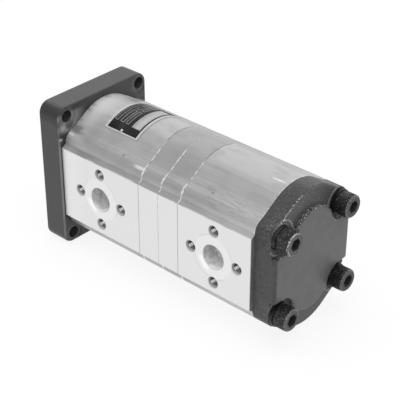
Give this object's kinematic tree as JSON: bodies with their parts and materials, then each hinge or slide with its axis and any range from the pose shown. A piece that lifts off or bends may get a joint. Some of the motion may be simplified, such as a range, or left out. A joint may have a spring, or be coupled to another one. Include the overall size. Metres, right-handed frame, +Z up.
{
  "type": "tandem gear pump",
  "caption": "Tandem hydraulic gear pump: two extruded aluminium pump sections in line behind a cast mounting flange, with a tapered drive shaft and flanged side ports.",
  "frame": {"origin": "where the drive shaft's axis meets the flange's mounting face", "axes": "+X along the shaft from the flange to the rear cover, the shaft end points along -X; +Z up, from the driven gears to the drive gears; suction ports face -Y"},
  "size_m": [0.2597, 0.0875, 0.1112],
  "materials": {
    "painted_casting": "satin dark grey paint over a rough casting",
    "aluminium_body": "extruded and milled, plain",
    "black_oxide_steel": "black oxide, lightly oiled",
    "ground_steel": "case hardened and ground",
    "zinc_steel": "zinc plated",
    "bearing_aluminium": "turned",
    "bearing_bronze": "sintered bronze with a dark liner",
    "rubber_seal": "moulded nitrile",
    "nameplate_black": "black lacquered sheet with a bright border",
    "bright_pin": "bright"
  },
  "bodies": {
    "housing": {"front_flange": "painted_casting", "rear_cover": "painted_casting", "front_body": "aluminium_body", "front_intermediate_plate": "aluminium_body", "rear_intermediate_plate": "aluminium_body", "rear_body": "aluminium_body", "tie_bolts": "black_oxide_steel", "tie_bolt_washers": "black_oxide_steel", "dowel_pins": "ground_steel", "nameplate": "nameplate_black", "nameplate_pins": "bright_pin", "shaft_seal": "rubber_seal", "shaft_seal_snap_ring": "black_oxide_steel", "flange_body_seal": "rubber_seal", "front_plate_body_seal": "rubber_seal", "coupling_bore_seal": "rubber_seal", "rear_plate_body_seal": "rubber_seal", "cover_body_seal": "rubber_seal", "front_section_front_block": "bearing_aluminium", "front_section_front_bushes": "bearing_bronze", "front_section_front_balance_seal": "rubber_seal", "front_section_rear_block": "bearing_aluminium", "front_section_rear_bushes": "bearing_bronze", "front_section_rear_balance_seal": "rubber_seal", "rear_section_front_block": "bearing_aluminium", "rear_section_front_bushes": "bearing_bronze", "rear_section_front_balance_seal": "rubber_seal", "rear_section_rear_block": "bearing_aluminium", "rear_section_rear_bushes": "bearing_bronze", "rear_section_rear_balance_seal": "rubber_seal"},
    "drive_train": {"front_drive_gear": "ground_steel", "shaft_key": "ground_steel", "shaft_nut": "zinc_steel", "shaft_lock_washer": "zinc_steel", "coupling_sleeve": "ground_steel", "rear_drive_gear": "ground_steel"},
    "front_driven_gear": {"front_driven_gear": "ground_steel"},
    "rear_driven_gear": {"rear_driven_gear": "ground_steel"}
  },
  "joints": [
    {"name": "drive_shaft_spin", "type": "hinge", "parent": "housing", "child": "drive_train", "pos_m": [0, 0, 0], "axis": [1, 0, 0], "continuous": true},
    {"name": "front_driven_gear_spin", "type": "hinge", "parent": "housing", "child": "front_driven_gear", "pos_m": [0.0568, 0, -0.0346], "axis": [1, 0, 0], "continuous": true},
    {"name": "rear_driven_gear_spin", "type": "hinge", "parent": "housing", "child": "rear_driven_gear", "pos_m": [0.1624, 0, -0.0346], "axis": [1, 0, 0], "continuous": true}
  ],
  "couplings": [
    {"joint": "front_driven_gear_spin", "follows": "drive_shaft_spin", "ratio": -1},
    {"joint": "rear_driven_gear_spin", "follows": "drive_shaft_spin", "ratio": -1}
  ]
}
